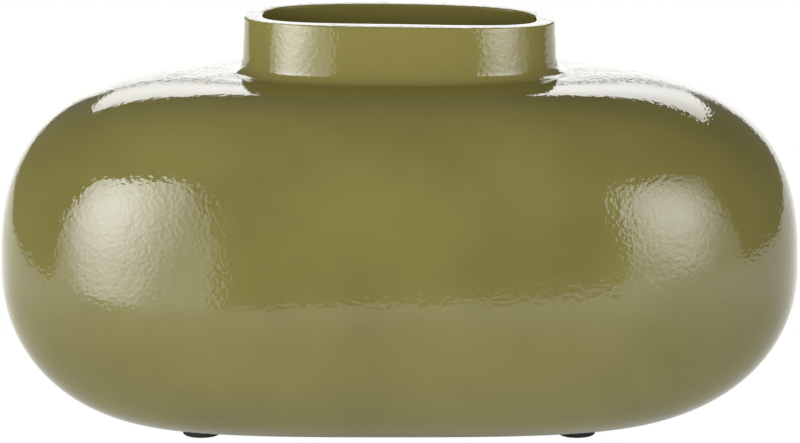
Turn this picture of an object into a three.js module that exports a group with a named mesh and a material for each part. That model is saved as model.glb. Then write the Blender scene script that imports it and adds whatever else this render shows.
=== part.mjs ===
// A low, pill-shaped flower vase in glazed stoneware: a hollow body with a raised
// oval neck, standing on four round rubber pads that are stuck to its underside.
// Millimetres, +Z up. The origin is on the table under the middle of the vase,
// the long way is X, and the front faces -Y.

import * as THREE from 'three';
import { mergeVertices } from 'three/addons/utils/BufferGeometryUtils.js';

// Body: its widest level, and how the wall rounds down and up from there.
const bodyHalfLength = 190;
const bodyHalfDepth = 82.5;
const bodyPlanPower = 2.75;
const lowerHeight = 76.5;
const lowerPower = 2.1;
const upperHeight = 91;
const upperPower = 2.65;
const bodyWall = 6.5;
const floorThickness = 8;

// Flat of the underside, which the pads are stuck to. It lies a little to the left.
const baseHalfLength = 105;
const baseHalfDepth = 41;
const basePlanPower = 3.2;
const baseShiftX = -5;

// Neck: an oval in plan whose outer face is a little fuller than an ellipse, with a
// squarer mouth. Its long sides are upright; the flare widens its foot at both ends.
const rimHalfLength = 73.7;
const rimHalfDepth = 35.5;
const rimPlanPower = 2.45;
const mouthPlanPower = 2.9;
const neckWall = 9.2;
const neckFlare = 1.2;
const neckFilletRadius = 4.6;
const collarHeight = 23;
const rimEdgeRadius = 1;

// Pads: a rubber disc with a softened lower edge, on a thin disc of adhesive.
const padRadius = 9;
const padThickness = 4;
const padEdgeRadius = 1.2;
const padInsetX = 15.8;
const padInsetY = 20;
const adhesiveMargin = 0.8;
const adhesiveThickness = 0.4;

// Steps of the faceted surfaces.
const planSteps = 84;
const wallSteps = 11;
const edgeSteps = 4;
const padSteps = 28;

// Heights above the table.
const baseLevel = padThickness + adhesiveThickness;
const widestLevel = baseLevel + lowerHeight;
const shoulderLevel = widestLevel + upperHeight;
const throatLevel = shoulderLevel + neckFilletRadius;
const rimLevel = throatLevel + collarHeight;

const glaze = { color: '#857d43', roughness: 0.12, metalness: 0 };
const rubber = { color: '#1a1616', roughness: 0.85, metalness: 0 };
const adhesive = { color: '#c9c6bb', roughness: 0.6, metalness: 0 };

// Unit superellipse: the point on the ray at the given angle.
function unitCurve(angle, power) {
  const along = Math.cos(angle);
  const across = Math.sin(angle);
  const reach = (Math.abs(along) ** power + Math.abs(across) ** power) ** (-1 / power);
  return new THREE.Vector2(along * reach, across * reach);
}

// Outline that is rounder than a rectangle and fuller than an ellipse.
function superellipse(halfLength, halfDepth, power, shiftX = 0) {
  const halfSizes = new THREE.Vector2(halfLength, halfDepth);
  const middle = new THREE.Vector2(shiftX, 0);
  return (angle) => unitCurve(angle, power).multiply(halfSizes).add(middle);
}

// Outline of the flat underside, or of the flat floor inside it.
function baseOutline(inset) {
  return superellipse(baseHalfLength - inset, baseHalfDepth - inset, basePlanPower, baseShiftX);
}

// Outline round the neck, spread out from the rim's outer edge, with a flare at its ends.
function neckOutline(spread, flare = 0) {
  return superellipse(rimHalfLength + spread + flare, rimHalfDepth + spread, rimPlanPower);
}

// Outline of the mouth, spread out from its upright wall.
function mouthOutline(spread) {
  const growth = spread - neckWall;
  return superellipse(rimHalfLength + growth, rimHalfDepth + growth, mouthPlanPower);
}

// One level of a surface: the outline's points at a height.
function ring(outline, level) {
  return Array.from({ length: planSteps }, (_, i) => {
    const point = outline((2 * Math.PI * i) / planSteps);
    return new THREE.Vector3(point.x, point.y, level);
  });
}

// Outline part of the way from a flat end towards the widest outline.
function between(flatOutline, widestOutline, share) {
  return (angle) => flatOutline(angle).lerp(widestOutline(angle), share);
}

// Levels of a rounded wall, from its flat lower end up to its flat upper end.
function wallRings({ base, widest, top, lowLevel, midLevel, highLevel }) {
  const rings = [];
  for (let i = -wallSteps; i <= wallSteps; i += 1) {
    const power = i < 0 ? lowerPower : upperPower;
    const curve = unitCurve((i / wallSteps) * (Math.PI / 2), power);
    const flat = i < 0 ? base : top;
    const rise = i < 0 ? midLevel - lowLevel : highLevel - midLevel;
    rings.push(ring(between(flat, widest, Math.max(curve.x, 0)), midLevel + rise * curve.y));
  }
  return rings;
}

// Quarter round: points from one tangent to the other, about a centre.
function quarter(centre, radius, startAngle, endAngle) {
  return Array.from({ length: edgeSteps + 1 }, (_, i) => {
    const angle = THREE.MathUtils.lerp(startAngle, endAngle, i / edgeSteps);
    return new THREE.Vector2(radius * Math.cos(angle), radius * Math.sin(angle)).add(centre);
  });
}

// Closed solid through a list of rings. Its ends are closed flat at their middle,
// or, for a ring-shaped solid, the last ring joins the first.
function skin(rings, joinsItself) {
  const vertices = rings.flat();
  const triangles = [];
  const last = rings.length - 1;
  const at = (row, i) => vertices[(row % rings.length) * planSteps + (i % planSteps)];
  for (let row = 0; row < (joinsItself ? rings.length : last); row += 1) {
    for (let i = 0; i < planSteps; i += 1) {
      triangles.push(at(row, i), at(row, i + 1), at(row + 1, i + 1));
      triangles.push(at(row, i), at(row + 1, i + 1), at(row + 1, i));
    }
  }
  if (!joinsItself) {
    const bottom = new THREE.Vector3(baseShiftX, 0, rings[0][0].z);
    const top = new THREE.Vector3(baseShiftX, 0, rings[last][0].z);
    for (let i = 0; i < planSteps; i += 1) {
      triangles.push(bottom, at(0, i + 1), at(0, i));
      triangles.push(top, at(last, i), at(last, i + 1));
    }
  }
  const geometry = mergeVertices(new THREE.BufferGeometry().setFromPoints(triangles), 1e-5);
  geometry.computeVertexNormals();
  return geometry;
}

function mesh(name, geometry, finish) {
  const result = new THREE.Mesh(geometry, new THREE.MeshStandardMaterial(finish));
  result.name = name;
  return result;
}

// Body: outer wall, fillet up to the throat, then down through the mouth and inside.
function vesselBody() {
  const outer = wallRings({
    base: baseOutline(0),
    widest: superellipse(bodyHalfLength, bodyHalfDepth, bodyPlanPower),
    top: neckOutline(neckFilletRadius, neckFlare),
    lowLevel: baseLevel,
    midLevel: widestLevel,
    highLevel: shoulderLevel,
  });
  const inner = wallRings({
    base: baseOutline(bodyWall),
    widest: superellipse(bodyHalfLength - bodyWall, bodyHalfDepth - bodyWall, bodyPlanPower),
    top: mouthOutline(0),
    lowLevel: baseLevel + floorThickness,
    midLevel: widestLevel,
    highLevel: shoulderLevel - bodyWall,
  });
  const filletCentre = new THREE.Vector2(neckFilletRadius, throatLevel);
  const fillet = quarter(filletCentre, neckFilletRadius, -Math.PI / 2, -Math.PI);
  const throat = fillet.slice(1).map((point) => ring(neckOutline(point.x, neckFlare), point.y));
  const mouth = ring(mouthOutline(0), throatLevel);
  return mesh('vessel_body', skin([...outer, ...throat, mouth, ...inner.reverse()], false), glaze);
}

// Collar: an oval tube on the throat, with both rim edges rounded.
function neckCollar() {
  const edgeLevel = rimLevel - rimEdgeRadius;
  const outerEdge = quarter(
    new THREE.Vector2(-rimEdgeRadius, edgeLevel), rimEdgeRadius, 0, Math.PI / 2,
  );
  const innerEdge = quarter(
    new THREE.Vector2(rimEdgeRadius, edgeLevel), rimEdgeRadius, Math.PI / 2, Math.PI,
  );
  const rings = [
    ring(neckOutline(0, neckFlare), throatLevel),
    ...outerEdge.map((point) => ring(neckOutline(point.x), point.y)),
    ...innerEdge.map((point) => ring(mouthOutline(point.x), point.y)),
    ring(mouthOutline(0), throatLevel),
  ];
  return mesh('neck_collar', skin(rings, true), glaze);
}

// Pad: its flat top takes the adhesive, its lower edge is rounded off.
function pad(name) {
  const edgeCentre = new THREE.Vector2(padRadius - padEdgeRadius, padEdgeRadius);
  const profile = [
    new THREE.Vector2(0, 0),
    ...quarter(edgeCentre, padEdgeRadius, -Math.PI / 2, 0),
    new THREE.Vector2(padRadius, padThickness),
    new THREE.Vector2(0, padThickness),
  ];
  const geometry = new THREE.LatheGeometry(profile, padSteps).rotateX(Math.PI / 2);
  return mesh(name, geometry, rubber);
}

function adhesiveDisc(name) {
  const radius = padRadius - adhesiveMargin;
  const geometry = new THREE.CylinderGeometry(radius, radius, adhesiveThickness, padSteps);
  geometry.rotateX(Math.PI / 2).translate(0, 0, padThickness + adhesiveThickness / 2);
  return mesh(name, geometry, adhesive);
}

const vase = new THREE.Group();
vase.add(vesselBody(), neckCollar());

for (const [row, side] of [['front', -1], ['back', 1]]) {
  for (const [end, way] of [['left', -1], ['right', 1]]) {
    const foot = new THREE.Group();
    foot.add(pad(`foot_pad_${row}_${end}`), adhesiveDisc(`pad_adhesive_${row}_${end}`));
    foot.position.x = baseShiftX + way * (baseHalfLength - padInsetX);
    foot.position.y = side * (baseHalfDepth - padInsetY);
    vase.add(foot);
  }
}

export default vase;
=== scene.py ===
"""A low, pill-shaped flower vase in glossy olive stoneware, on four rubber pads.

The vessel is one skin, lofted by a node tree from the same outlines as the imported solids:
a flat underside, a widest level and a shoulder, joined by rounded walls, and a neck whose
section runs over the rim and down into the hollow. Metres, +Z up, front towards -Y.
"""

from math import cos, pi, radians, sin

import bpy
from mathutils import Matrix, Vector


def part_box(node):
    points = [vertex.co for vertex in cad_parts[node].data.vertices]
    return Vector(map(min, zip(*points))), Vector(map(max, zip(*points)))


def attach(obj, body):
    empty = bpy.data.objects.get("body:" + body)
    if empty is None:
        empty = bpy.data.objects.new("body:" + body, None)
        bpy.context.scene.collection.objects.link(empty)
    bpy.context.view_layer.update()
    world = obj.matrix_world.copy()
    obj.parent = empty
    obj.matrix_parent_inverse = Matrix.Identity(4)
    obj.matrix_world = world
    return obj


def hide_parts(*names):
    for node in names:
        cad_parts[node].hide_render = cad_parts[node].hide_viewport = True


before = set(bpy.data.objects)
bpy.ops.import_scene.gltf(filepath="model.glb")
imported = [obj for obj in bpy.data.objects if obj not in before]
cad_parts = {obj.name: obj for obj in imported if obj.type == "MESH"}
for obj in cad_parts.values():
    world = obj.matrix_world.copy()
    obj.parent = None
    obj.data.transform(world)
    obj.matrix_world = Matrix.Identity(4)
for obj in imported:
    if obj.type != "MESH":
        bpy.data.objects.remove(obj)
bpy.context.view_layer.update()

MM = 0.001

# Sizes of the vessel, in metres, that its packed boxes don't give.
LOWER_HEIGHT = 76.5 * MM
BODY_WALL = 6.5 * MM
FLOOR_THICKNESS = 8 * MM
BASE_HALF_LENGTH = 105 * MM
BASE_HALF_DEPTH = 41 * MM
BASE_SHIFT = -5 * MM
NECK_WALL = 9.2 * MM
NECK_FLARE = 1.2 * MM
NECK_FILLET = 4.6 * MM
RIM_EDGE = 1 * MM
ROOF_EDGE = 3 * MM
RIM_ARCH = 1.3 * MM
RIM_CREST = -31 * MM

# How full each outline is: 2 is an ellipse, and a larger power is squarer.
BODY_PLAN_POWER = 2.75
BASE_PLAN_POWER = 3.2
RIM_PLAN_POWER = 2.45
MOUTH_PLAN_POWER = 2.9
LOWER_POWER = 2.1
UPPER_POWER = 2.65

# Steps of the smooth skin.
PLAN_STEPS = 256
OUTER_ROWS = 97
INNER_ROWS = 49
FLAT_ROWS = 6
FILLET_STEPS = 10
PAD_STEPS = 64

# Longest stretch of a section without a point of its own, and the welding distance.
LONGEST_STRETCH = 2.5 * MM
WELD_DISTANCE = 0.001 * MM

# Glaze: the deep and light ends of its olive, the paler colour painted on the neck as painted
# light, standing in for the brighter light that falls there, the heights between which it is
# painted in, and its gloss. Cells are in millimetres.
GLAZE_DEEP = "#756e38"
GLAZE_LIGHT = "#7e7840"
GLAZE_PAINTED_LIGHT = "#877f43"
TONE_CELL = 60
TONE_EDGES = (0.35, 0.65)
PAINTED_LIGHT_FROM = 168 * MM
PAINTED_LIGHT_TO = 172.5 * MM
GLAZE_ROUGHNESS = 0.03
GLAZE_IOR = 1.52

# Bumps of the glaze: the fine peel and the wide swells.
PEEL_CELL = 2.1
PEEL_HEIGHT = 0.1 * MM
SWELL_CELL = 14
SWELL_HEIGHT = 0.17 * MM

# Pads: one in each corner, with softened edges and a fine grain.
PAD_PLACES = ("front_left", "front_right", "back_left", "back_right")
PAD_LOWER_EDGE = 1.2 * MM
PAD_UPPER_EDGE = 0.3 * MM
RUBBER_BLACK = "#1a1616"
RUBBER_ROUGHNESS = 0.72
RUBBER_IOR = 1.5
GRAIN_CELL = 0.6
GRAIN_HEIGHT = 0.05 * MM

# Adhesive film: its two milky tones, and its sheen.
FILM_DULL = "#b9b6a9"
FILM_BRIGHT = "#d6d3c8"
FILM_ROUGHNESS = 0.45
FILM_IOR = 1.48
CLOUD_CELL = 2

# Table: its corners, from the back left, along the front edge, to the back right. Its glow
# rises from near the vase (distance, strength) to far from it: the dimmer glow near the vase
# is painted shade, standing in for the vase's shadow on the table.
TABLE_CORNERS = ((-4.1, 3.4), (-2.17, 1.67), (-1.27, 0.72), (-0.99, 0.32), (-0.80, 0.13),
                 (-0.68, -0.03), (-0.58, -0.13), (-0.51, -0.20), (-0.44, -0.25), (-0.38, -0.262),
                 (-0.28, -0.25), (-0.20, -0.265), (-0.14, -0.305), (-0.07, -0.35), (0, -0.37),
                 (0.08, -0.385), (0.14, -0.405), (0.21, -0.42), (0.27, -0.46), (0.32, -0.47),
                 (0.40, -0.42), (0.51, -0.38), (0.64, -0.28), (0.85, -0.12), (1.03, 0.03),
                 (1.43, 0.33), (2.57, 1.02), (5.6, 3.4))
TABLE_GREY = "#5a5a59"
TABLE_NEAR = (0.12, 0.75)
TABLE_FAR = (0.50, 1.75)
TABLE_ON_MATT = 0.45
TABLE_PALE = 1.0

# Painted shadow of the vase on the table, a dusky patch under it: its half size, how bright its
# middle stays, and the shares of the half size between which it fades.
PAINTED_SHADOW_HALF_SIZE = (0.135, 0.055)
PAINTED_SHADOW_STRENGTH = 0.35
PAINTED_SHADOW_FADE = (0.75, 1.1)

# Softboxes: where each one hangs, its corners in its own plane, and the glow of its cloth:
# brightest, faintest, spot, reach and share on matt.
SOFTBOX_DISTANCE = 1.5
LEFT_AZIMUTH = radians(-42.5)
LEFT_FOOT = (-0.12, -0.06, 0.10)
LEFT_CORNERS = ((-0.84, -0.70), (0.78, -0.70), (0.75, -0.36), (0.65, -0.28), (0.62, -0.10),
                (0.54, 0.13), (0.46, 0.27), (0.35, 0.44), (0.29, 0.61), (-0.20, 0.57),
                (-0.56, 0.53), (-0.67, 0.40), (-0.77, 0.12), (-0.81, -0.16))
LEFT_GLOW = (12.0, 2.0, (-0.04, 0.19), (0.71, 0.96), 0.6)
RIGHT_AZIMUTH = radians(46)
RIGHT_FOOT = (0.12, -0.06, 0.10)
RIGHT_CORNERS = ((0.67, -0.70), (0.67, -0.12), (0.70, 0.05), (0.70, 0.22), (0.67, 0.45),
                 (0.54, 0.48), (0.33, 0.58), (0.09, 0.66), (-0.10, 0.68), (-0.23, 0.57),
                 (-0.24, 0.35), (-0.30, 0.20), (-0.38, 0.06), (-0.45, -0.05), (-0.47, -0.21),
                 (-0.55, -0.29), (-0.55, -0.70))
RIGHT_GLOW = (7.6, 1.3, (0.28, 0.13), (0.65, 0.68), 0.76)

# Ceiling panel over the back, and the upright backdrop below it, whose top slopes down to
# both sides. Only the gloss takes their light.
CEILING_LEVEL = 1.37
CEILING_CORNERS = ((-1.04, 1.30), (-0.20, 1.20), (0.40, 1.12), (0.75, 0.90), (1.10, 0.56),
                   (1.10, 1.5), (1.02, 2.4), (1.02, 4.35), (-0.98, 4.35))
CEILING_GLOW = (6.1, 2.1, (0, 0), (50, 4.8))
BACKDROP_DISTANCE = 3.4
BACKDROP_CORNERS = ((-4.10, 0.001), (5.60, 0.001), (4.85, 0.13), (3.12, 0.29), (2.64, 0.42),
                    (2.13, 0.54), (1.83, 0.66), (1.61, 0.78), (1.54, 0.91), (1.41, 1.01),
                    (-0.89, 1.00), (-1.02, 0.62), (-1.41, 0.51), (-2.13, 0.40), (-2.64, 0.28),
                    (-3.02, 0.13))
BACKDROP_GLOW = (2.45, 1.75, (0, 0.8), (50, 0.8))

# Fills that only light matt surfaces: azimuth, elevation and strength of each.
FILLS = ((0, radians(50), 1.25), (radians(-80), 0, 1.5),
         (radians(82), 0, 1.0), (radians(180), radians(25), 1.9))
FILL_MIDDLE = Vector((0, 0, 0.1))
FILL_DISTANCE = 1.6
FILL_HALF_SIZE = 0.6

# Room: what the glaze reflects elsewhere, and what the camera sees.
ROOM_DIM = 0.2
ROOM_PALE = 1.0

# Camera: a long lens, as high as the rim's ellipse in the photograph tells.
CAMERA_ELEVATION = radians(12.4)
CAMERA_DISTANCE = 2.6
FRAME_WIDTH = 380.9 * MM
CAMERA_AIM = Vector((0.2, 0, 98.9)) * MM
SENSOR_WIDTH = 36
CAMERA_CLIP = (0.1, 20)

WHITE = (1, 1, 1, 1)

# Vector and colour sockets of a mix node, which shares their names with its other kinds.
MIX_VECTORS = (4, 5)
MIXED_VECTOR = 1
MIX_COLOURS = (6, 7)
MIXED_COLOUR = 2


# Node helpers


def per_metre(cell):
    """Noise scale whose cells are about this many millimetres across."""
    return 1 / (cell * MM)


def add(tree, kind, inputs=(), **settings):
    """Adds a node: settings are its own options, inputs are values or the nodes that feed it."""
    node = tree.nodes.new(kind)
    for option, value in settings.items():
        setattr(node, option, value)
    named = inputs.items() if isinstance(inputs, dict) else enumerate(inputs)
    for socket, value in named:
        if isinstance(value, bpy.types.Node):
            value = value.outputs[0]
        if isinstance(value, bpy.types.NodeSocket):
            tree.links.new(value, node.inputs[socket])
        else:
            node.inputs[socket].default_value = value
    return node


def new_tree(name, inputs, output):
    """Geometry node tree with typed inputs, given as name: kind, and one output kind."""
    tree = bpy.data.node_groups.new(name, "GeometryNodeTree")
    for socket, kind in inputs.items():
        tree.interface.new_socket(name=socket, in_out="INPUT", socket_type="NodeSocket" + kind)
    tree.interface.new_socket(name="Result", in_out="OUTPUT", socket_type="NodeSocket" + output)
    return tree, tree.nodes.new("NodeGroupInput").outputs


def finish_tree(tree, result):
    add(tree, "NodeGroupOutput", [result])
    return tree


# Outlines in plan


def superellipse_tree():
    """Point of the unit superellipse on the ray at an angle."""
    tree, given = new_tree("superellipse", {"Angle": "Float", "Power": "Float"}, "Vector")
    along = add(tree, "ShaderNodeMath", [given["Angle"]], operation="COSINE")
    across = add(tree, "ShaderNodeMath", [given["Angle"]], operation="SINE")
    ray = add(tree, "ShaderNodeCombineXYZ", [along, across])
    size = add(tree, "ShaderNodeVectorMath", [ray], operation="ABSOLUTE")
    part = add(tree, "ShaderNodeSeparateXYZ", [size])
    long_part = add(tree, "ShaderNodeMath", [part.outputs["X"], given["Power"]], operation="POWER")
    deep_part = add(tree, "ShaderNodeMath", [part.outputs["Y"], given["Power"]], operation="POWER")
    total = add(tree, "ShaderNodeMath", [long_part, deep_part], operation="ADD")
    root = add(tree, "ShaderNodeMath", [-1.0, given["Power"]], operation="DIVIDE")
    reach = add(tree, "ShaderNodeMath", [total, root], operation="POWER")
    point = add(tree, "ShaderNodeVectorMath", {"Vector": ray, "Scale": reach}, operation="SCALE")
    return finish_tree(tree, point)


SUPERELLIPSE = superellipse_tree()


# Surfaces between outlines


def row_grid(tree, plan_steps, rows):
    """Flat grid, with the angle round the plan and the share of the way up its rows."""
    columns = add(tree, "ShaderNodeMath", [plan_steps, 1.0], operation="ADD")
    grid = add(tree, "GeometryNodeMeshGrid",
               {"Size X": 1.0, "Size Y": 1.0, "Vertices X": columns, "Vertices Y": rows})
    place = add(tree, "ShaderNodeSeparateXYZ", [grid.outputs["UV Map"]])
    angle = add(tree, "ShaderNodeMath", [place.outputs["X"], 2 * pi], operation="MULTIPLY")
    return grid, angle, place.outputs["Y"]


def rounded_wall_tree():
    """Wall that rounds out from the base outline to the widest one and in to the shoulder."""
    inputs = {
        "Base Half Size": "Vector", "Base Power": "Float", "Base Shift": "Vector",
        "Widest Half Size": "Vector", "Widest Power": "Float",
        "Shoulder Half Size": "Vector", "Shoulder Plan Power": "Float",
        "Base Level": "Float", "Widest Level": "Float", "Shoulder Level": "Float",
        "Lower Power": "Float", "Upper Power": "Float",
        "Plan Steps": "Int", "Rows": "Int",
    }
    tree, given = new_tree("rounded_wall", inputs, "Geometry")
    grid, angle, share_up = row_grid(tree, given["Plan Steps"], given["Rows"])
    turn = add(tree, "ShaderNodeMapRange",
               {"Value": share_up, "To Min": -pi / 2, "To Max": pi / 2})
    is_lower = add(tree, "ShaderNodeMath", [turn, 0.0], operation="LESS_THAN")
    power = add(tree, "ShaderNodeMix",
                {"Factor": is_lower, "A": given["Upper Power"], "B": given["Lower Power"]})
    curve = add(tree, "GeometryNodeGroup", {"Angle": turn, "Power": power},
                node_tree=SUPERELLIPSE)
    section = add(tree, "ShaderNodeSeparateXYZ", [curve])
    base_unit = add(tree, "GeometryNodeGroup", {"Angle": angle, "Power": given["Base Power"]},
                    node_tree=SUPERELLIPSE)
    base = add(tree, "ShaderNodeVectorMath",
               [base_unit, given["Base Half Size"], given["Base Shift"]],
               operation="MULTIPLY_ADD")
    widest_unit = add(tree, "GeometryNodeGroup",
                      {"Angle": angle, "Power": given["Widest Power"]}, node_tree=SUPERELLIPSE)
    widest = add(tree, "ShaderNodeVectorMath", [widest_unit, given["Widest Half Size"]],
                 operation="MULTIPLY")
    shoulder_unit = add(tree, "GeometryNodeGroup",
                        {"Angle": angle, "Power": given["Shoulder Plan Power"]},
                        node_tree=SUPERELLIPSE)
    shoulder = add(tree, "ShaderNodeVectorMath", [shoulder_unit, given["Shoulder Half Size"]],
                   operation="MULTIPLY")
    flat = add(tree, "GeometryNodeSwitch",
               {"Switch": is_lower, "False": shoulder, "True": base}, input_type="VECTOR")
    outline = add(tree, "ShaderNodeMix",
                  {"Factor": section.outputs["X"], MIX_VECTORS[0]: flat, MIX_VECTORS[1]: widest},
                  data_type="VECTOR").outputs[MIXED_VECTOR]
    flat_level = add(tree, "GeometryNodeSwitch",
                     {"Switch": is_lower, "False": given["Shoulder Level"],
                      "True": given["Base Level"]}, input_type="FLOAT")
    rise = add(tree, "ShaderNodeMath", [section.outputs["Y"]], operation="ABSOLUTE")
    level = add(tree, "ShaderNodeMix",
                {"Factor": rise, "A": given["Widest Level"], "B": flat_level})
    height = add(tree, "ShaderNodeCombineXYZ", {"Z": level})
    place = add(tree, "ShaderNodeVectorMath", [outline, height], operation="ADD")
    wall = add(tree, "GeometryNodeSetPosition", {"Geometry": grid, "Position": place})
    return finish_tree(tree, wall)


def flat_end_tree():
    """Flat face inside the base outline, looking down."""
    inputs = {"Half Size": "Vector", "Power": "Float", "Middle": "Vector",
              "Plan Steps": "Int", "Rows": "Int"}
    tree, given = new_tree("flat_end", inputs, "Geometry")
    grid, angle, share_out = row_grid(tree, given["Plan Steps"], given["Rows"])
    unit = add(tree, "GeometryNodeGroup", {"Angle": angle, "Power": given["Power"]},
               node_tree=SUPERELLIPSE)
    rim = add(tree, "ShaderNodeVectorMath", [unit, given["Half Size"]], operation="MULTIPLY")
    inward = add(tree, "ShaderNodeVectorMath", {"Vector": rim, "Scale": share_out},
                 operation="SCALE")
    place = add(tree, "ShaderNodeVectorMath", [inward, given["Middle"]], operation="ADD")
    face = add(tree, "GeometryNodeSetPosition", {"Geometry": grid, "Position": place})
    return finish_tree(tree, face)


def section_rows_tree():
    """Rings, one for each point of a section: its half depth, extra half length and level.

    The fullness of the rings changes from the inner to the outer half depth. With no extra
    length and a power of 2 a ring is a circle.
    """
    inputs = {"Section": "Geometry",
              "Inner Half Depth": "Float", "Outer Half Depth": "Float",
              "Inner Power": "Float", "Outer Power": "Float", "Plan Steps": "Int"}
    tree, given = new_tree("section_rows", inputs, "Geometry")
    points = add(tree, "GeometryNodeAttributeDomainSize", [given["Section"]],
                 component="CURVE").outputs["Point Count"]
    grid, angle, share_along = row_grid(tree, given["Plan Steps"], points)
    last = add(tree, "ShaderNodeMath", [points, 1.0], operation="SUBTRACT")
    along = add(tree, "ShaderNodeMath", [share_along, last], operation="MULTIPLY")
    row = add(tree, "ShaderNodeMath", [along], operation="ROUND")
    position = add(tree, "GeometryNodeInputPosition")
    found = add(tree, "GeometryNodeSampleIndex",
                {"Geometry": given["Section"], "Value": position, "Index": row},
                data_type="FLOAT_VECTOR", domain="POINT")
    part = add(tree, "ShaderNodeSeparateXYZ", [found])
    half_depth = part.outputs["X"]
    power = add(tree, "ShaderNodeMapRange",
                {"Value": half_depth, "From Min": given["Inner Half Depth"],
                 "From Max": given["Outer Half Depth"], "To Min": given["Inner Power"],
                 "To Max": given["Outer Power"]})
    unit = add(tree, "GeometryNodeGroup", {"Angle": angle, "Power": power},
               node_tree=SUPERELLIPSE)
    half_length = add(tree, "ShaderNodeMath", [half_depth, part.outputs["Y"]],
                      operation="ADD")
    half_size = add(tree, "ShaderNodeCombineXYZ", [half_length, half_depth])
    ring = add(tree, "ShaderNodeVectorMath", [unit, half_size], operation="MULTIPLY")
    height = add(tree, "ShaderNodeCombineXYZ", {"Z": part.outputs["Z"]})
    place = add(tree, "ShaderNodeVectorMath", [ring, height], operation="ADD")
    rows = add(tree, "GeometryNodeSetPosition", {"Geometry": grid, "Position": place})
    return finish_tree(tree, rows)


ROUNDED_WALL = rounded_wall_tree()
FLAT_END = flat_end_tree()
SECTION_ROWS = section_rows_tree()


def section(tree, corners):
    """Section through corner points: half depth, extra half length, level, fillet radius.

    Long straight stretches get points of their own, so that they shade flat.
    """
    index = add(tree, "GeometryNodeInputIndex")
    places = [add(tree, "ShaderNodeCombineXYZ", corner[:3]) for corner in corners]
    fillets = [corner[3] for corner in corners]
    chosen = []
    for kind, choices in (("VECTOR", places), ("FLOAT", fillets)):
        switch = add(tree, "GeometryNodeIndexSwitch", data_type=kind)
        for _ in choices[2:]:
            switch.index_switch_items.new()
        for socket, value in enumerate([index, *choices]):
            if isinstance(value, (bpy.types.Node, bpy.types.NodeSocket)):
                source = value.outputs[0] if isinstance(value, bpy.types.Node) else value
                tree.links.new(source, switch.inputs[socket])
            else:
                switch.inputs[socket].default_value = value
        chosen.append(switch)
    line = add(tree, "GeometryNodeMeshLine", {"Count": len(corners)})
    chain = add(tree, "GeometryNodeSetPosition", {"Geometry": line, "Position": chosen[0]})
    curve = add(tree, "GeometryNodeMeshToCurve", [chain])
    rounded = add(tree, "GeometryNodeFilletCurve",
                  {"Curve": curve, "Count": FILLET_STEPS, "Radius": chosen[1],
                   "Limit Radius": True}, mode="POLY")
    length = add(tree, "GeometryNodeSplineParameter").outputs["Length"]
    following = add(tree, "ShaderNodeMath", [index, 1.0], operation="ADD")
    next_length = add(tree, "GeometryNodeFieldAtIndex", {"Index": following, "Value": length},
                      data_type="FLOAT", domain="POINT")
    stretch = add(tree, "ShaderNodeMath", [next_length, length], operation="SUBTRACT")
    cuts = add(tree, "ShaderNodeMath", [stretch, LONGEST_STRETCH], operation="DIVIDE")
    whole_cuts = add(tree, "ShaderNodeMath", [cuts], operation="FLOOR")
    return add(tree, "GeometryNodeSubdivideCurve", {"Curve": rounded, "Cuts": whole_cuts})


# Vessel


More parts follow.
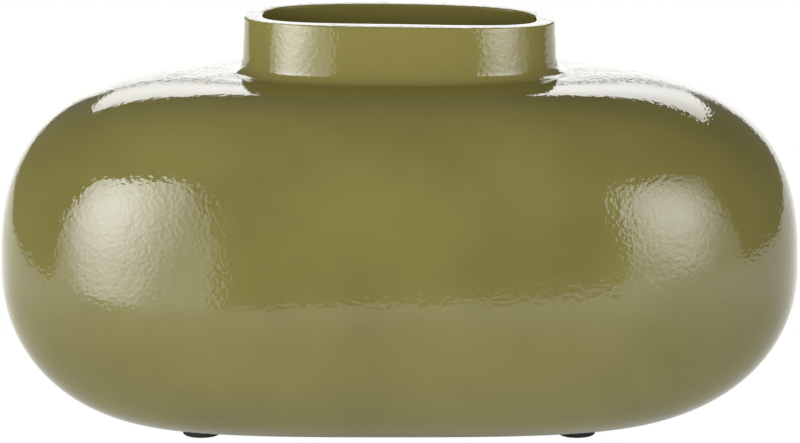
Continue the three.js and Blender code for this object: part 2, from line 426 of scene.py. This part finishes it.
def vessel_tree():
    """Whole skin: underside, outer wall, neck over the rim, inner wall and floor."""
    inputs = {
        "Base Half Size": "Vector", "Widest Half Size": "Vector",
        "Inner Base Half Size": "Vector", "Inner Widest Half Size": "Vector",
        "Shoulder Half Size": "Vector", "Roof Half Size": "Vector",
        "Base Power": "Float", "Widest Power": "Float",
        "Rim Power": "Float", "Mouth Power": "Float",
        "Lower Power": "Float", "Upper Power": "Float",
        "Base Middle": "Vector", "Floor Middle": "Vector", "Base Shift": "Vector",
        "Throat Extra Half Length": "Float", "Rim Extra Half Length": "Float",
        "Shoulder Half Depth": "Float", "Rim Half Depth": "Float",
        "Mouth Half Depth": "Float", "Roof Half Depth": "Float",
        "Base Level": "Float", "Widest Level": "Float", "Shoulder Level": "Float",
        "Rim Level": "Float", "Roof Level": "Float", "Floor Level": "Float",
        "Foot Fillet": "Float", "Rim Edge": "Float", "Roof Edge": "Float",
        "Rim Arch": "Float", "Rim Crest": "Float", "Glaze": "Material",
    }
    tree, given = new_tree("vessel", inputs, "Geometry")
    powers = {name: given[name] for name in ("Base Power", "Widest Power",
                                             "Lower Power", "Upper Power")}
    shared = {**powers, "Base Shift": given["Base Shift"],
              "Widest Level": given["Widest Level"], "Plan Steps": PLAN_STEPS}
    outer = add(tree, "GeometryNodeGroup",
                {**shared, "Base Half Size": given["Base Half Size"],
                 "Widest Half Size": given["Widest Half Size"],
                 "Shoulder Half Size": given["Shoulder Half Size"],
                 "Shoulder Plan Power": given["Rim Power"],
                 "Base Level": given["Base Level"], "Shoulder Level": given["Shoulder Level"],
                 "Rows": OUTER_ROWS}, node_tree=ROUNDED_WALL)
    inner = add(tree, "GeometryNodeGroup",
                {**shared, "Base Half Size": given["Inner Base Half Size"],
                 "Widest Half Size": given["Inner Widest Half Size"],
                 "Shoulder Half Size": given["Roof Half Size"],
                 "Shoulder Plan Power": given["Mouth Power"],
                 "Base Level": given["Floor Level"], "Shoulder Level": given["Roof Level"],
                 "Rows": INNER_ROWS}, node_tree=ROUNDED_WALL)
    underside = add(tree, "GeometryNodeGroup",
                    {"Half Size": given["Base Half Size"], "Power": given["Base Power"],
                     "Middle": given["Base Middle"], "Plan Steps": PLAN_STEPS,
                     "Rows": FLAT_ROWS}, node_tree=FLAT_END)
    floor = add(tree, "GeometryNodeGroup",
                {"Half Size": given["Inner Base Half Size"], "Power": given["Base Power"],
                 "Middle": given["Floor Middle"], "Plan Steps": PLAN_STEPS,
                 "Rows": FLAT_ROWS}, node_tree=FLAT_END)
    longer, long = given["Throat Extra Half Length"], given["Rim Extra Half Length"]
    neck_section = section(tree, [
        (given["Shoulder Half Depth"], longer, given["Shoulder Level"], 0.0),
        (given["Rim Half Depth"], longer, given["Shoulder Level"], given["Foot Fillet"]),
        (given["Rim Half Depth"], long, given["Rim Level"], given["Rim Edge"]),
        (given["Mouth Half Depth"], long, given["Rim Level"], given["Rim Edge"]),
        (given["Mouth Half Depth"], long, given["Roof Level"], given["Roof Edge"]),
        (given["Roof Half Depth"], long, given["Roof Level"], 0.0),
    ])
    neck = add(tree, "GeometryNodeGroup",
               {"Section": neck_section, "Inner Half Depth": given["Roof Half Depth"],
                "Outer Half Depth": given["Rim Half Depth"],
                "Inner Power": given["Mouth Power"], "Outer Power": given["Rim Power"],
                "Plan Steps": PLAN_STEPS}, node_tree=SECTION_ROWS)

    # The rim dips a little from its highest place, left of the middle, to its two ends.
    position = add(tree, "GeometryNodeInputPosition")
    part = add(tree, "ShaderNodeSeparateXYZ", [position])
    end = add(tree, "ShaderNodeMath",
              [given["Rim Extra Half Length"], given["Rim Half Depth"]], operation="ADD")
    away = add(tree, "ShaderNodeMath", [part.outputs["X"], given["Rim Crest"]],
               operation="SUBTRACT")
    out = add(tree, "ShaderNodeMath", [away, end], operation="DIVIDE")
    out_square = add(tree, "ShaderNodeMath", [out, out], operation="MULTIPLY")
    above_foot = add(tree, "ShaderNodeMapRange",
                     {"Value": part.outputs["Z"], "From Min": given["Shoulder Level"],
                      "From Max": given["Rim Level"]})
    dip = add(tree, "ShaderNodeMath", [out_square, above_foot], operation="MULTIPLY")
    drop = add(tree, "ShaderNodeMath", [dip, given["Rim Arch"]], operation="MULTIPLY")
    down = add(tree, "ShaderNodeMath", [drop, -1.0], operation="MULTIPLY")
    offset = add(tree, "ShaderNodeCombineXYZ", {"Z": down})
    arched = add(tree, "GeometryNodeSetPosition", {"Geometry": neck, "Offset": offset})

    inside = add(tree, "GeometryNodeJoinGeometry")
    outside = add(tree, "GeometryNodeJoinGeometry")
    for piece in (inner, floor):
        tree.links.new(piece.outputs[0], inside.inputs[0])
    turned = add(tree, "GeometryNodeFlipFaces", [inside])
    for piece in (outer, underside, arched, turned):
        tree.links.new(piece.outputs[0], outside.inputs[0])
    welded = add(tree, "GeometryNodeMergeByDistance",
                 {"Geometry": outside, "Distance": WELD_DISTANCE})
    smooth = add(tree, "GeometryNodeSetShadeSmooth", {"Geometry": welded, "Shade Smooth": True})
    real = add(tree, "GeometryNodeRealizeInstances", [smooth])
    glazed = add(tree, "GeometryNodeSetMaterial", {"Geometry": real, "Material": given["Glaze"]})
    return finish_tree(tree, glazed)


def grown(name, tree, sizes):
    """Piece that a node tree makes from the named sizes, baked to a plain mesh."""
    piece = bpy.data.objects.new(name, bpy.data.meshes.new(name))
    bpy.context.scene.collection.objects.link(piece)
    modifier = piece.modifiers.new(name, "NODES")
    modifier.node_group = tree
    for socket in tree.interface.items_tree:
        if socket.in_out == "INPUT":
            modifier[socket.identifier] = sizes[socket.name]
    depsgraph = bpy.context.evaluated_depsgraph_get()
    baked = bpy.data.meshes.new_from_object(piece.evaluated_get(depsgraph))
    piece.modifiers.clear()
    piece.data = baked
    baked.name = name
    return piece


def glazed_vessel(glaze):
    body_low, body_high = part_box("vessel_body")
    collar_low, collar_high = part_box("neck_collar")
    half_length = (body_high.x - body_low.x) / 2
    half_depth = (body_high.y - body_low.y) / 2
    base_level = body_low.z
    widest_level = base_level + LOWER_HEIGHT
    shoulder_level = collar_low.z - NECK_FILLET
    rim = collar_high.y
    mouth = rim - NECK_WALL
    roof = mouth + 2 * ROOF_EDGE
    shoulder = rim + NECK_FILLET
    throat_extra_half_length = collar_high.x - rim
    rim_extra_half_length = throat_extra_half_length - NECK_FLARE
    roof_level = shoulder_level - BODY_WALL
    floor_level = base_level + FLOOR_THICKNESS
    wall_inset = Vector((BODY_WALL, BODY_WALL, 0))
    base_half_size = Vector((BASE_HALF_LENGTH, BASE_HALF_DEPTH, 0))
    widest_half_size = Vector((half_length, half_depth, 0))
    vessel = grown("glazed_vessel", vessel_tree(), {
        "Base Half Size": base_half_size,
        "Widest Half Size": widest_half_size,
        "Inner Base Half Size": base_half_size - wall_inset,
        "Inner Widest Half Size": widest_half_size - wall_inset,
        "Base Power": BASE_PLAN_POWER,
        "Widest Power": BODY_PLAN_POWER,
        "Lower Power": LOWER_POWER,
        "Upper Power": UPPER_POWER,
        "Base Middle": (BASE_SHIFT, 0, base_level),
        "Floor Middle": (BASE_SHIFT, 0, floor_level),
        "Base Shift": (BASE_SHIFT, 0, 0),
        "Shoulder Half Size": (shoulder + throat_extra_half_length, shoulder, 0),
        "Roof Half Size": (roof + rim_extra_half_length, roof, 0),
        "Rim Power": RIM_PLAN_POWER,
        "Mouth Power": MOUTH_PLAN_POWER,
        "Throat Extra Half Length": throat_extra_half_length,
        "Rim Extra Half Length": rim_extra_half_length,
        "Shoulder Half Depth": shoulder,
        "Rim Half Depth": rim,
        "Mouth Half Depth": mouth,
        "Roof Half Depth": roof,
        "Base Level": base_level,
        "Widest Level": widest_level,
        "Shoulder Level": shoulder_level,
        "Rim Level": collar_high.z,
        "Roof Level": roof_level,
        "Floor Level": floor_level,
        "Foot Fillet": NECK_FILLET,
        "Rim Edge": RIM_EDGE,
        "Roof Edge": ROOF_EDGE,
        "Rim Arch": RIM_ARCH,
        "Rim Crest": RIM_CREST,
        "Glaze": glaze,
    })
    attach(vessel, "root")
    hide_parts("vessel_body", "neck_collar")
    return vessel


# Pads


def pad_tree():
    """Moulded rubber pad, turned about its own middle."""
    inputs = {"Radius": "Float", "Thickness": "Float", "Lower Edge": "Float",
              "Upper Edge": "Float", "Middle": "Vector", "Rubber": "Material"}
    tree, given = new_tree("rubber_pad", inputs, "Geometry")
    turned = add(tree, "GeometryNodeGroup", {
        "Section": section(tree, [
            (0.0, 0.0, 0.0, 0.0),
            (given["Radius"], 0.0, 0.0, given["Lower Edge"]),
            (given["Radius"], 0.0, given["Thickness"], given["Upper Edge"]),
            (0.0, 0.0, given["Thickness"], 0.0),
        ]),
        "Inner Half Depth": 0.0,
        "Outer Half Depth": given["Radius"],
        "Inner Power": 2.0,
        "Outer Power": 2.0,
        "Plan Steps": PAD_STEPS,
    }, node_tree=SECTION_ROWS)
    placed = add(tree, "GeometryNodeSetPosition",
                 {"Geometry": turned, "Offset": given["Middle"]})
    welded = add(tree, "GeometryNodeMergeByDistance",
                 {"Geometry": placed, "Distance": WELD_DISTANCE})
    smooth = add(tree, "GeometryNodeSetShadeSmooth", {"Geometry": welded, "Shade Smooth": True})
    real = add(tree, "GeometryNodeRealizeInstances", [smooth])
    finished = add(tree, "GeometryNodeSetMaterial",
                   {"Geometry": real, "Material": given["Rubber"]})
    return finish_tree(tree, finished)


def rubber_pads(rubber):
    tree = pad_tree()
    for place in PAD_PLACES:
        low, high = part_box("foot_pad_" + place)
        pad = grown("rubber_pad_" + place, tree, {
            "Radius": (high.x - low.x) / 2,
            "Thickness": high.z - low.z,
            "Lower Edge": PAD_LOWER_EDGE,
            "Upper Edge": PAD_UPPER_EDGE,
            "Middle": ((low.x + high.x) / 2, (low.y + high.y) / 2, low.z),
            "Rubber": rubber,
        })
        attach(pad, "root")
        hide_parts("foot_pad_" + place)


def cover_adhesive(film):
    """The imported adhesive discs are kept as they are, in the film's material."""
    for place in PAD_PLACES:
        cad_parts["pad_adhesive_" + place].material_slots[0].material = film


# Materials


def linear(hex_colour):
    """Linear RGBA of an sRGB hex value."""
    shares = [int(hex_colour[i:i + 2], 16) / 255 for i in (1, 3, 5)]
    parts = [c / 12.92 if c <= 0.04045 else ((c + 0.055) / 1.055) ** 2.4 for c in shares]
    return (*parts, 1.0)


def new_material(name):
    """Material with a bare surface output, and its node tree."""
    material = bpy.data.materials.new(name)
    material.use_nodes = True
    material.node_tree.nodes.clear()
    return material, material.node_tree


def glazed_stoneware():
    """Olive glaze, poured and fired to a high gloss over stoneware.

    Its surface is level but not flat: soft swells from the hand-finished body, and a fine
    orange peel from the melt, which ripples the edges of every reflection. Round the neck its
    colour is painted paler: painted light, standing in for the brighter light that falls there.
    """
    material, tree = new_material("glazed_stoneware")
    place = add(tree, "ShaderNodeTexCoord").outputs["Object"]
    tone = add(tree, "ShaderNodeTexNoise",
               {"Vector": place, "Scale": per_metre(TONE_CELL), "Detail": 3.0,
                "Roughness": 0.5})
    colour = add(tree, "ShaderNodeValToRGB", [tone])
    ramp = colour.color_ramp.elements
    ramp[0].position, ramp[1].position = TONE_EDGES
    ramp[0].color, ramp[1].color = linear(GLAZE_DEEP), linear(GLAZE_LIGHT)
    height = add(tree, "ShaderNodeSeparateXYZ", [place]).outputs["Z"]
    # Painted light: above these heights the neck is painted paler, standing in for the brighter
    # light on it.
    painted_light_share = add(tree, "ShaderNodeMapRange",
                   {"Value": height, "From Min": PAINTED_LIGHT_FROM, "From Max": PAINTED_LIGHT_TO},
                   interpolation_type="SMOOTHSTEP")
    colour_with_painted_light = add(tree, "ShaderNodeMix",
               {"Factor": painted_light_share, MIX_COLOURS[0]: colour, MIX_COLOURS[1]: linear(GLAZE_PAINTED_LIGHT)},
               data_type="RGBA").outputs[MIXED_COLOUR]
    peel = add(tree, "ShaderNodeTexNoise",
               {"Vector": place, "Scale": per_metre(PEEL_CELL), "Detail": 1.0,
                "Roughness": 0.5})
    swell = add(tree, "ShaderNodeTexNoise",
                {"Vector": place, "Scale": per_metre(SWELL_CELL), "Detail": 1.0,
                 "Roughness": 0.4})
    swelling = add(tree, "ShaderNodeBump",
                   {"Strength": 1.0, "Distance": SWELL_HEIGHT, "Height": swell})
    peeling = add(tree, "ShaderNodeBump",
                  {"Strength": 1.0, "Distance": PEEL_HEIGHT, "Height": peel,
                   "Normal": swelling})
    shader = add(tree, "ShaderNodeBsdfPrincipled",
                 {"Base Color": colour_with_painted_light, "Roughness": GLAZE_ROUGHNESS, "IOR": GLAZE_IOR,
                  "Normal": peeling})
    add(tree, "ShaderNodeOutputMaterial", [shader])
    return material


def moulded_rubber():
    """Black synthetic rubber, moulded with a matt grain that only takes a dull sheen."""
    material, tree = new_material("moulded_rubber")
    place = add(tree, "ShaderNodeTexCoord").outputs["Object"]
    grain = add(tree, "ShaderNodeTexNoise",
                {"Vector": place, "Scale": per_metre(GRAIN_CELL), "Detail": 2.0})
    dents = add(tree, "ShaderNodeBump",
                {"Strength": 0.4, "Distance": GRAIN_HEIGHT, "Height": grain})
    shader = add(tree, "ShaderNodeBsdfPrincipled",
                 {"Base Color": linear(RUBBER_BLACK), "Roughness": RUBBER_ROUGHNESS,
                  "IOR": RUBBER_IOR, "Normal": dents})
    add(tree, "ShaderNodeOutputMaterial", [shader])
    return material


def adhesive_film():
    """Milky acrylic film: soft, slightly cloudy and a little shiny at its cut edge."""
    material, tree = new_material("adhesive_film")
    place = add(tree, "ShaderNodeTexCoord").outputs["Object"]
    cloud = add(tree, "ShaderNodeTexNoise",
                {"Vector": place, "Scale": per_metre(CLOUD_CELL), "Detail": 2.0})
    colour = add(tree, "ShaderNodeValToRGB", [cloud])
    ramp = colour.color_ramp.elements
    ramp[0].color, ramp[1].color = linear(FILM_DULL), linear(FILM_BRIGHT)
    shader = add(tree, "ShaderNodeBsdfPrincipled",
                 {"Base Color": colour, "Roughness": FILM_ROUGHNESS, "IOR": FILM_IOR})
    add(tree, "ShaderNodeOutputMaterial", [shader])
    return material


def by_ray(tree, mirrored, on_matt):
    """Strength of a light: as the gloss mirrors it, and as it falls on a matt surface."""
    ray = add(tree, "ShaderNodeLightPath").outputs["Is Diffuse Ray"]
    return add(tree, "ShaderNodeMapRange", {"Value": ray, "To Min": mirrored, "To Max": on_matt})


def pale_table():
    """White acrylic table top, lit from beneath, so that it takes no hard shadow.

    It is white for the camera, and a little dimmer for what the glaze reflects. What the glaze
    reflects has painted shade: a glow that is dimmer near the vase and a painted shadow right
    under it, standing in for the vase's shadow on the table.
    """
    material, tree = new_material("pale_table")
    ray = add(tree, "ShaderNodeLightPath").outputs
    place = add(tree, "ShaderNodeTexCoord").outputs["Object"]
    distance = add(tree, "ShaderNodeVectorMath", [place], operation="LENGTH").outputs["Value"]
    # Painted shade: the glow is dimmer near the vase, standing in for its shadow on the table.
    lit = add(tree, "ShaderNodeMapRange",
              {"Value": distance, "From Min": TABLE_NEAR[0], "From Max": TABLE_FAR[0],
               "To Min": TABLE_NEAR[1], "To Max": TABLE_FAR[1]},
              interpolation_type="SMOOTHSTEP")
    # Painted shadow: a dusky patch right under the vase, standing in for its contact shadow.
    spread = add(tree, "ShaderNodeVectorMath",
                 [place, (1 / PAINTED_SHADOW_HALF_SIZE[0], 1 / PAINTED_SHADOW_HALF_SIZE[1], 0)],
                 operation="MULTIPLY")
    from_middle = add(tree, "ShaderNodeVectorMath", [spread],
                      operation="LENGTH").outputs["Value"]
    outside_painted_shadow = add(tree, "ShaderNodeMapRange",
                     {"Value": from_middle, "From Min": PAINTED_SHADOW_FADE[0],
                      "From Max": PAINTED_SHADOW_FADE[1], "To Min": PAINTED_SHADOW_STRENGTH},
                     interpolation_type="SMOOTHSTEP")
    mirrored = add(tree, "ShaderNodeMath", [lit, outside_painted_shadow], operation="MULTIPLY")
    glow = by_ray(tree, mirrored, TABLE_ON_MATT)
    matt = add(tree, "ShaderNodeBsdfPrincipled",
               {"Base Color": linear(TABLE_GREY), "Roughness": 0.9,
                "Emission Color": WHITE, "Emission Strength": glow})
    white = add(tree, "ShaderNodeEmission", {"Color": WHITE, "Strength": TABLE_PALE})
    seen = add(tree, "ShaderNodeMixShader", [ray["Is Camera Ray"], matt, white])
    add(tree, "ShaderNodeOutputMaterial", [seen])
    return material


def lit_cloth(name, brightest, faintest, spot, reach, share=1.0):
    """White cloth of a light, brightest round a spot and fading over a reach in metres.

    The reach is given across and up. The share is how much falls on matt surfaces.
    """
    material, tree = new_material(name)
    place = add(tree, "ShaderNodeTexCoord").outputs["Object"]
    across = add(tree, "ShaderNodeVectorMath", [place, (*spot, 0)], operation="SUBTRACT")
    shrunk = add(tree, "ShaderNodeVectorMath", [across, (1 / reach[0], 1 / reach[1], 0)],
                 operation="MULTIPLY")
    distance = add(tree, "ShaderNodeVectorMath", [shrunk], operation="LENGTH").outputs["Value"]
    strength = add(tree, "ShaderNodeMapRange",
                   {"Value": distance, "To Min": brightest, "To Max": faintest},
                   interpolation_type="SMOOTHSTEP")
    falling = add(tree, "ShaderNodeMath", [strength, by_ray(tree, 1.0, share)],
                  operation="MULTIPLY")
    light = add(tree, "ShaderNodeEmission", {"Color": WHITE, "Strength": falling})
    add(tree, "ShaderNodeOutputMaterial", [light])
    return material


# Stage, light and camera


def away(azimuth, elevation=0):
    """Unit vector away from the vase. Azimuths turn from the front to the right."""
    level = cos(elevation)
    return Vector((sin(azimuth) * level, -cos(azimuth) * level, sin(elevation)))


def sheet(name, corners, material):
    """Flat staged sheet through corner points."""
    mesh = bpy.data.meshes.new(name)
    mesh.from_pydata(corners, [], [tuple(range(len(corners)))])
    mesh.materials.append(material)
    flat = bpy.data.objects.new(name, mesh)
    bpy.context.scene.collection.objects.link(flat)
    return flat


def unseen(name, corners, material):
    """Sheet that the camera doesn't see itself."""
    panel = sheet(name, corners, material)
    panel.visible_camera = False
    return panel


def facing(name, way, middle, corners, material):
    """Unseen panel that faces back against a way, with its corners in its own plane."""
    panel = unseen(name, [(u, v, 0) for u, v in corners], material)
    panel.location = middle
    panel.rotation_euler = (-way).to_track_quat("Z", "Y").to_euler()
    return panel


def softbox(side, azimuth, foot, corners, glow):
    """Softbox in front of the vase, which shows as a highlight on one side of it."""
    way = away(azimuth)
    middle = Vector(foot) + way * SOFTBOX_DISTANCE
    facing(side + "_softbox", way, middle, corners, lit_cloth(side + "_cloth", *glow))


def fill(name, azimuth, elevation, strength):
    """Square panel, turned to the vase, that the gloss doesn't mirror."""
    way = away(azimuth, elevation)
    half = FILL_HALF_SIZE
    square = [(-half, -half), (half, -half), (half, half), (-half, half)]
    cloth = lit_cloth(name + "_cloth", strength, strength, (0, 0), (1, 1))
    panel = facing(name, way, FILL_MIDDLE + way * FILL_DISTANCE, square, cloth)
    panel.visible_glossy = False


def table():
    sheet("table", [(x, y, 0) for x, y in TABLE_CORNERS], pale_table())


def camera():
    data = bpy.data.cameras.new("camera")
    data.sensor_width = SENSOR_WIDTH
    data.lens = SENSOR_WIDTH * CAMERA_DISTANCE / FRAME_WIDTH
    data.clip_start, data.clip_end = CAMERA_CLIP
    eye = bpy.data.objects.new("camera", data)
    back = away(0, CAMERA_ELEVATION)
    eye.location = CAMERA_AIM + back * CAMERA_DISTANCE
    eye.rotation_euler = (-back).to_track_quat("-Z", "Y").to_euler()
    bpy.context.scene.collection.objects.link(eye)
    bpy.context.scene.camera = eye


def room():
    """Pale all round for the camera, dim for everything that the glaze reflects."""
    world = bpy.data.worlds.new("room")
    world.use_nodes = True
    tree = world.node_tree
    tree.nodes.clear()
    rays = add(tree, "ShaderNodeLightPath").outputs["Is Camera Ray"]
    dim = add(tree, "ShaderNodeBackground", {"Color": WHITE, "Strength": ROOM_DIM})
    pale = add(tree, "ShaderNodeBackground", {"Color": WHITE, "Strength": ROOM_PALE})
    seen = add(tree, "ShaderNodeMixShader", [rays, dim, pale])
    add(tree, "ShaderNodeOutputWorld", [seen])
    world.cycles_visibility.diffuse = False
    bpy.context.scene.world = world


def lights():
    softbox("left", LEFT_AZIMUTH, LEFT_FOOT, LEFT_CORNERS, LEFT_GLOW)
    softbox("right", RIGHT_AZIMUTH, RIGHT_FOOT, RIGHT_CORNERS, RIGHT_GLOW)
    ceiling = unseen("ceiling_panel", [(x, y, CEILING_LEVEL) for x, y in CEILING_CORNERS],
                     lit_cloth("ceiling_cloth", *CEILING_GLOW))
    backdrop = facing("backdrop", away(pi), (0, BACKDROP_DISTANCE, 0), BACKDROP_CORNERS,
                      lit_cloth("backdrop_cloth", *BACKDROP_GLOW))
    for panel in (ceiling, backdrop):
        panel.visible_diffuse = False
    for number, (azimuth, elevation, strength) in enumerate(FILLS):
        fill(f"fill_{number}", azimuth, elevation, strength)


camera()
room()
lights()
glazed_vessel(glazed_stoneware())
rubber_pads(moulded_rubber())
cover_adhesive(adhesive_film())
table()
bpy.context.scene.view_settings.view_transform = "Standard"
